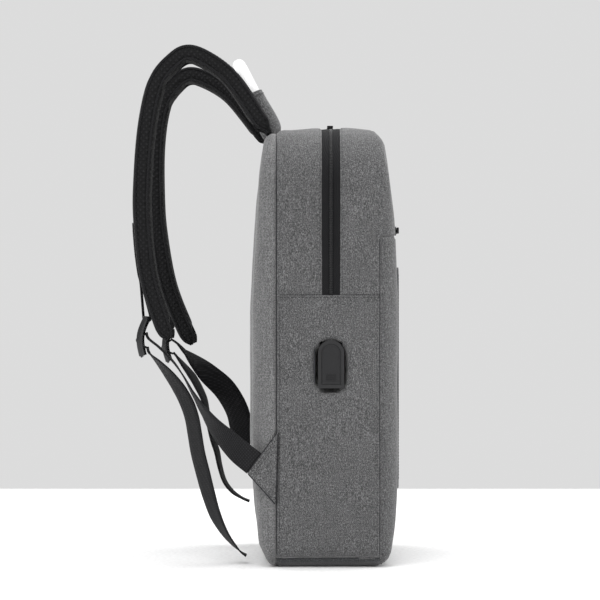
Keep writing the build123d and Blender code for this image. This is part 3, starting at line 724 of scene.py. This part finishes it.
def make_pad(side, name):
    line, outward = pad_route(side)
    bm = bmesh.new()
    swept(bm, line, pad_section(line, outward, 0.0012))
    mesh = swollen(f"pad_{name}", bm, 0.0022)
    made = bpy.data.objects.new(f"pad_{name}", mesh)
    bpy.context.collection.objects.link(made)
    mesh.materials.clear()
    mesh.materials.append(MESH)
    mesh.polygons.foreach_set("use_smooth", [True] * len(mesh.polygons))
    modifier(made, "SUBSURF", levels=1, render_levels=1)
    body = f"strap_{name}"
    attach(made, body)
    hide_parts(f"shoulder_pad_{name}", f"strap_anchor_{name}")

    bm = bmesh.new()
    for across in (-1, 1):
        for face in (-1, 1):
            rim = []
            for index, here in enumerate(line):
                half, thick = pad_size(index / (len(line) - 1))
                aside = Vector((across * (half - 0.0028), 0, 0))
                rim.append(here + aside + outward[index] * face * (thick - 0.0008))
            tube = bmesh.new()
            swept(tube, rim, round_sides(0.0015, 8))
            joined(bm, tube)
    piece(f"pad_piping_{name}", bm, BINDING, body, [f"pad_binding_{name}"])
    bm = bmesh.new()
    for across in (-1, 1):
        band = bmesh.new()
        swept(band, line, edge_band(outward, across, len(line) - 1))
        joined(bm, band)
    piece(f"pad_edge_{name}", bm, MESH, body)
    for label, share in (("in", -0.55), ("out", 0.55)):
        aside = Vector((share * STRAP_WIDTH / 2, 0, 0))
        row = [here + aside + outward[index] * (pad_size(index / PAD_STEPS)[1] + 0.0011)
               for index, here in enumerate(line) if 12 < index < 84]
        stitch_row(f"pad_stitches_{label}_{name}", row, THREAD, body, 3.6, 2.4, 0.5)


# The soft band that closes the pad's long edge, between its two pipings.
def edge_band(outward, across, last):
    def sides(index, here, along):
        half, thick = pad_size(index / last)
        ring = ((-0.0062, 1), (-0.0034, 1), (-0.0020, 0.6), (-0.0014, 0),
                (-0.0020, -0.6), (-0.0034, -1), (-0.0062, -1))
        return [here + Vector((across * (half + a), 0, 0)) + outward[index] * b * (thick - 0.001)
                for a, b in ring]
    return sides


def joined(bm, other):
    mesh = bpy.data.meshes.new("joining")
    other.to_mesh(mesh)
    other.free()
    bm.from_mesh(mesh)
    bpy.data.meshes.remove(mesh)


# ---- Webbing: a flat woven strip, turned as it goes ----
def strip_sides(line, turns, width, thickness):
    def sides(index, here, along):
        across = (Vector((1, 0, 0)) - along * along.x).normalized()
        share = index / (len(line) - 1) * (len(turns) - 1)
        lower = min(int(share), len(turns) - 2)
        turn = turns[lower] + (turns[lower + 1] - turns[lower]) * (share - lower)
        across = Matrix.Rotation(math.radians(turn), 3, along) @ across
        up = along.cross(across)
        a, b = width / 2, thickness / 2
        ring = ((a, 0), (a * 0.97, b), (a * 0.5, b * 1.1), (0, b * 1.15), (-a * 0.5, b * 1.1), (-a * 0.97, b),
                (-a, 0), (-a * 0.97, -b), (-a * 0.5, -b * 0.9), (0, -b * 0.85), (a * 0.5, -b * 0.9),
                (a * 0.97, -b))
        return [here + across * p + up * q for p, q in ring]
    return sides


def webbing(name, route, turns, body, node=None, width=0.025, thickness=0.0016, count=70):
    line = smooth_points([Vector(spot) * MM for spot in route], count)
    bm = bmesh.new()
    swept(bm, line, strip_sides(line, turns, width, thickness))
    made = piece(name, bm, WEBBING, body, [node] if node else ())
    return made, line


TAB_EDGE = (151.2, 69.9, 103.9)
LOWER_ROUTES = {
    "left": ((101, 180.2, 234.2), (101, 177.9, 228), (102, 167, 219), (105, 154, 206), (110, 143, 191),
             (118, 132, 172), (126, 122, 156), (135, 110, 140), (143, 96, 126), (149.5, 84, 115), TAB_EDGE),
    "right": ((101, 163.6, 224.6), (101, 157, 220), (102, 148.5, 210.5), (105, 138, 200), (111, 124, 187),
              (120, 108, 172), (129, 98, 157), (138, 92, 143), (145, 89, 129), (149.5, 84, 115), TAB_EDGE),
}
LOWER_TURNS = {
    "left": (0, 0, 0, 0, 3, 8, 18, 38, 62, 82, 90), "right": (0, 0, 6, 30, 60, 80, 90, 90, 90, 90, 90),
}
TAIL_ROUTES = {
    "left": ((101, 179.0, 219.6), (101, 177.2, 213.6), (100, 168, 204), (99, 157, 191),
             (98, 147, 177), (98, 139, 162), (98, 134, 147),
             (98, 131, 130), (98, 128, 112), (98, 123, 92), (98, 117.5, 71), (98, 110, 48), (98, 99, 28),
             (98, 86, 13), (98, 79, 8)),
    "right": ((101, 161.4, 210.4), (101, 157.5, 206), (100, 149.5, 196), (99, 141, 185),
              (98, 134, 173), (98, 128, 160), (98, 125, 146),
              (98, 122, 132), (98, 118.5, 117), (98, 114, 103), (98, 111, 88), (98, 106, 72), (98, 98, 61),
              (98, 88, 54), (98, 79, 50)),
}
TAIL_TURNS = {
    "left": (0, 0, 12, 24, 32, 36, 36, 36, 36, 36, 34, 28, 16, 4, 0),
    "right": (0, 0, 8, 14, 14, 12, 10, 10, 10, 10, 8, 6, 4, 0, 0),
}


# The buckle: two bowed rails, a round bar at the top and three flat crossbars.
def make_buckle(side, name):
    turn = math.radians(6) + STRAP_LEAN[side]
    bar = strap_point(side, BUCKLE_BAR)
    down = Vector((0, math.sin(turn), -math.cos(turn)))
    out = Vector((0, math.cos(turn), math.sin(turn)))

    def spot(x, v, lift=0.0):
        bow = 4.5 * math.sin(math.pi * min(1, max(0, v / BUCKLE_LENGTH)))
        return bar + Vector((x * MM, 0, 0)) + down * v * MM + out * (bow + lift) * MM

    bm = bmesh.new()
    for x in (-15.5, 15.5):
        rail = bmesh.new()
        line = [spot(x * (1 - 0.10 * (v / BUCKLE_LENGTH) ** 3), v) for v in range(-2, BUCKLE_LENGTH + 1, 2)]
        swept(rail, line, flat_sides(0.0019, 0.0034))
        joined(bm, rail)
    for v, half, rise in ((0, 0.0021, 0.0021), (12, 0.0027, 0.0014), (23, 0.0027, 0.0014),
                          (36, 0.0042, 0.0016)):
        cross = bmesh.new()
        swept(cross, [spot(x, v) for x in range(-15, 16, 3)], bar_sides(down, out, half, rise))
        joined(bm, cross)
    body = f"ladder_lock_{name}"
    made = piece(f"buckle_{name}", bm, PLASTIC, body, [body])
    modifier(made, "BEVEL", width=0.0004, segments=2, limit_method="ANGLE")
    wrap = [spot(0, v, lift) for v, lift in (
        (15, -6), (17.5, -2.5), (19, 1.0), (23, 3.4), (27, 1.0), (28.5, -2.5), (30, -7))]
    bm = bmesh.new()
    line = smooth_points(wrap, 36)
    swept(bm, line, strip_sides(line, (0, 0), 0.0235, 0.0015))
    piece(f"buckle_wrap_{name}", bm, WEBBING, body)


def flat_sides(half, rise):
    def sides(index, here, along):
        across = Vector((1, 0, 0))
        up = along.cross(across)
        turns = [math.pi * 2 * step / 10 for step in range(10)]
        return [here + across * math.cos(t) * half + up * math.sin(t) * rise for t in turns]
    return sides


def bar_sides(down, out, half, rise):
    def sides(index, here, along):
        turns = [math.pi * 2 * step / 10 for step in range(10)]
        return [here + down * math.cos(t) * half + out * math.sin(t) * rise for t in turns]
    return sides


# The webbing that holds the buckle: sewn flat on the pad, then round the buckle's top bar and back.
def make_loop(side, name):
    line, outward = pad_route(side)
    bar = strap_point(side, BUCKLE_BAR)
    start, stop = int(0.79 * PAD_STEPS), int(0.87 * PAD_STEPS)
    path = [line[i] + outward[i] * (pad_size(i / PAD_STEPS)[1] + 0.0026) for i in range(start, stop + 1)]
    last = path[-1]
    turn = STRAP_LEAN[side]
    out = Vector((0, math.cos(turn), math.sin(turn)))
    up = Vector((0, -math.sin(turn), math.cos(turn)))
    path += [bar + out * 0.0036 + up * 0.002]
    path += [bar + out * 0.0036 * math.cos(a) - up * 0.0036 * math.sin(a) for a in (0.5, 1.1, 1.7, 2.3, 2.9)]
    path += [bar - out * 0.0030 + up * 0.004, last - outward[stop] * 0.0014 - up * 0.001]
    bm = bmesh.new()
    smooth = smooth_points(path, 60)
    swept(bm, smooth, strip_sides(smooth, (0, 0), 0.0245, 0.0015))
    body = f"strap_{name}"
    piece(f"buckle_webbing_{name}", bm, WEBBING, body, [f"buckle_loop_{name}"])
    for offset in (-0.0085, 0, 0.0085):
        row = [line[i] + outward[i] * (pad_size(i / PAD_STEPS)[1] + 0.0036) + Vector((offset, 0, 0))
               for i in range(start + 1, stop - 2)]
        stitch_row(f"loop_stitches_{int(offset * 1e4)}_{name}", row, PALE_THREAD, body, 2.6, 1.7, 0.35)


# The folded cloth triangle in the rear seam, with the webbing sewn between its layers.
def make_tab(side, name):
    low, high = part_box(f"strap_tab_{name}")
    corners = [(46.5, 136), (77, 94.5), (48.5, 63)]
    x = side * HALF_WIDTH
    bm = bmesh.new()
    face = bm.faces.new([bm.verts.new((x - side * 0.0002, y * MM, z * MM)) for y, z in corners])
    grown = bmesh.ops.extrude_face_region(bm, geom=[face])
    moved = [item for item in grown["geom"] if isinstance(item, bmesh.types.BMVert)]
    bmesh.ops.translate(bm, verts=moved, vec=(side * (high[0] - low[0] + 0.0004), 0, 0))
    bmesh.ops.subdivide_edges(bm, edges=bm.edges[:], cuts=7, use_grid_fill=True)
    bmesh.ops.triangulate(bm, faces=[f for f in bm.faces if len(f.verts) > 4])
    bmesh.ops.recalc_face_normals(bm, faces=bm.faces)
    made = piece(f"tab_{name}", bm, GREY, "bag", [f"strap_tab_{name}"])
    modifier(made, "BEVEL", width=0.0009, segments=3, limit_method="ANGLE")
    outer = x + side * (high[0] - low[0] + 0.0003)
    a, b, c = [Vector((outer, y * MM, z * MM)) for y, z in corners]
    # Dark thread cords round the tab's edges: a sewn edge line, and painted shade for the shadow under the
    # tab's edge.
    for label, start, stop in (("long", a, b), ("back", a, c), ("under", b, c)):
        rim = [start.lerp(stop, 0.03 + 0.94 * step / 20) for step in range(21)]
        cord_piece(f"tab_rim_{label}_{name}", rim, 0.0005, THREAD, "bag", 6)
    for index, away in enumerate((0.003, 0.0055)):
        along = (b - a).normalized()
        inset = Vector((0, -0.787, -0.617)) * away
        row = [a + inset + along * (0.004 + 0.001 * step) for step in range(44)]
        stitch_row(f"tab_stitches_{index}_{name}", row, THREAD, "bag", 3.0, 2.0, 0.4)


def make_straps():
    for side, name in ((-1, "left"), (1, "right")):
        make_pad(side, name)
        make_loop(side, name)
        make_buckle(side, name)
        make_tab(side, name)
        route = [(side * x, y, z) for x, y, z in LOWER_ROUTES[name]]
        lower, line = webbing(f"lower_strap_{name}", route, [side * t for t in LOWER_TURNS[name]], None,
                              f"lower_webbing_{name}")
        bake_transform(lower)
        tail = [(side * x, y, z) for x, y, z in TAIL_ROUTES[name]]
        webbing(f"tail_{name}", tail, [side * t for t in TAIL_TURNS[name]], f"strap_{name}",
                f"webbing_tail_{name}")


make_straps()


# ---- Handle sleeves: cloth tubes round the handle's ends, flattened where they are sewn in the top seam ----
HANDLE_ROOT = (49.5, 434.0)
HANDLE_LEAN = math.radians(26.6)
HANDLE_HALF_SPAN = 55.0
SLEEVE_PROFILE = (
    (-2, 12.5, 1.5), (0.5, 12.0, 3.2), (3, 11.4, 6.6), (7, 10.9, 9.6), (13, 10.5, 10.9), (22, 10.2, 10.9),
    (32, 9.9, 10.3), (42, 9.5, 9.7), (49, 9.3, 9.3), (50.5, 9.3, 9.3), (51, 8.8, 8.8),
)


def handle_point(side, rise, lift=0.0):
    across = side * (HANDLE_HALF_SPAN - 7 * (rise - 6) / 80)
    return Vector((across, HANDLE_ROOT[0] + rise * math.sin(HANDLE_LEAN) + lift * math.cos(HANDLE_LEAN),
                   HANDLE_ROOT[1] + rise * math.cos(HANDLE_LEAN) - lift * math.sin(HANDLE_LEAN))) * MM


def make_sleeve(side, name):
    shape = smooth_points(SLEEVE_PROFILE, 80)
    line = [handle_point(side, rise) for rise, _, _ in shape]

    def sides(index, here, along):
        rise, half, depth = shape[index]
        across = (Vector((1, 0, 0)) - along * along.x).normalized()
        up = along.cross(across)
        ring = []
        for step in range(32):
            turn = 2 * math.pi * step / 32
            crease = noise.noise(Vector((turn * 1.4 + 7 * side, rise * 0.05, 1.0)))
            fold = 1 + 0.035 * crease * min(1, rise / 6)
            ring.append(here + (across * math.cos(turn) * half + up * math.sin(turn) * depth) * fold * MM)
        return ring

    bm = bmesh.new()
    swept(bm, line, sides)
    made = piece(f"handle_cloth_{name}", bm, GREY, None, [f"handle_sleeve_{name}"])
    foot, top = tuple(handle_point(side, 1)), tuple(handle_point(side, 12))
    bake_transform(made)
    hem = []
    for step in range(41):
        turn = 2 * math.pi * step / 40
        hem.append(handle_point(side, 47, math.sin(turn) * 9.7) + Vector((math.cos(turn) * 9.7 * MM, 0, 0)))
    stitch_row(f"handle_hem_{name}", hem, THREAD, "handle", 3.0, 2.0, 0.5)


# ---- USB cover: a rubber flap with a raised rim, grip ribs at its lower end and a thin hinge at its top ----
def arch_face(bm, x, middle, low, high, half):
    spring = high - half
    outline = [(middle - half, low), (middle + half, low)]
    outline += [(middle + half * math.cos(math.pi * step / 24), spring + half * math.sin(math.pi * step / 24))
                for step in range(25)]
    return bm.faces.new([bm.verts.new((x, y, z)) for y, z in outline])


def thick_block(bm, low, high):
    size = Vector(high) - Vector(low)
    place = Matrix.Translation((Vector(high) + Vector(low)) / 2)
    bmesh.ops.create_cube(bm, size=1, matrix=place @ Matrix.Diagonal((*size, 1)))


def make_port():
    low, high = [Vector(corner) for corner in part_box("usb_cover")]
    middle, half = (low.y + high.y) / 2, (high.y - low.y) / 2
    bm = bmesh.new()
    face = arch_face(bm, high.x, middle, low.z, high.z, half)
    grown = bmesh.ops.extrude_face_region(bm, geom=[face])
    moved = [item for item in grown["geom"] if isinstance(item, bmesh.types.BMVert)]
    bmesh.ops.translate(bm, verts=moved, vec=(low.x - high.x, 0, 0))
    bmesh.ops.recalc_face_normals(bm, faces=bm.faces)
    outer = [item for item in bm.faces if item.normal.x < -0.9]
    bmesh.ops.inset_region(bm, faces=outer, thickness=1.1 * MM, depth=0)
    bmesh.ops.inset_region(bm, faces=outer, thickness=0.35 * MM, depth=-0.4 * MM)
    made = piece("port_flap", bm, FLAP_RUBBER, "usb_cover", ["usb_cover"], smooth=False)
    modifier(made, "BEVEL", width=0.00022, segments=2, limit_method="ANGLE")
    bm = bmesh.new()
    for step in range(4):
        z = low.z + (3.4 + 1.9 * step) * MM
        thick_block(bm, (low.x - 0.35 * MM, middle - half * 0.52, z),
                    (low.x + 0.5 * MM, middle + half * 0.52, z + 0.9 * MM))
    ribs = piece("port_flap_ribs", bm, FLAP_RUBBER, "usb_cover", smooth=False)
    modifier(ribs, "BEVEL", width=0.0003, segments=2, limit_method="ANGLE")
    bm = bmesh.new()
    thick_block(bm, (high.x - 0.5 * MM, middle - 3.4 * MM, high.z - 1.2 * MM),
                (high.x - 0.1 * MM, middle + 3.4 * MM, high.z + 1.6 * MM))
    bmesh.ops.subdivide_edges(bm, edges=bm.edges[:], cuts=4, use_grid_fill=True)
    web = piece("port_hinge_web", bm, FLAP_RUBBER, None, smooth=False)
    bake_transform(web)


# ---- Solar panel: a bound edge with two rows of stitches round it ----
def make_solar():
    low, high = [Vector(corner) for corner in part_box("solar_border")]
    window = [Vector(corner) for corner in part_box("solar_cover")]
    bm = bmesh.new()
    place = Matrix.Translation(((low.x + high.x) / 2, low.y + 0.2 * MM, (low.z + high.z) / 2))
    size = Matrix.Diagonal((high.x - low.x, high.z - low.z, 1, 1))
    bmesh.ops.create_grid(bm, x_segments=2, y_segments=2, size=0.5,
                          matrix=place @ Matrix.Rotation(math.radians(90), 4, "X") @ size)
    for axis, cut in ((0, window[0].x), (0, window[1].x), (2, window[0].z), (2, window[1].z)):
        bisect(bm, axis, cut)
    inside = [face for face in bm.faces if window[0].x < face.calc_center_median().x < window[1].x
              and window[0].z < face.calc_center_median().z < window[1].z]
    bmesh.ops.delete(bm, geom=inside, context="FACES")
    corners = [vert for vert in bm.verts if abs(abs(vert.co.x) - high.x) < 1e-5
               and min(abs(vert.co.z - low.z), abs(vert.co.z - high.z)) < 1e-5]
    bmesh.ops.bevel(bm, geom=corners, offset=8 * MM, segments=8, profile=0.5, affect="VERTICES", material=-1)
    for face in bm.faces:
        if face.normal.y > 0:
            face.normal_flip()
    made = piece("solar_binding", bm, BINDING, "bag", ["solar_border"], smooth=False)
    modifier(made, "SOLIDIFY", thickness=high.y - low.y - 0.2 * MM, offset=-1)
    modifier(made, "BEVEL", width=0.00035, segments=3, limit_method="ANGLE")
    for label, inset in (("outer", 2.4), ("inner", 9.4)):
        x, bottom, top = high.x - inset * MM, low.z + inset * MM, high.z - inset * MM
        loop = [(-x, bottom), (x, bottom), (x, top), (-x, top), (-x, bottom)]
        for index, (start, stop) in enumerate(zip(loop, loop[1:])):
            margin = 6 * MM / max(1e-6, math.dist(start, stop))
            row = [Vector((start[0] + (stop[0] - start[0]) * t, low.y - 0.02 * MM,
                           start[1] + (stop[1] - start[1]) * t)) for t in (margin, 0.5, 1 - margin)]
            stitch_row(f"solar_stitches_{label}_{index}", row, PALE_THREAD, "bag", 3.2, 2.1, 0.4)


for side, name in ((-1, "left"), (1, "right")):
    make_sleeve(side, name)
make_port()
make_solar()
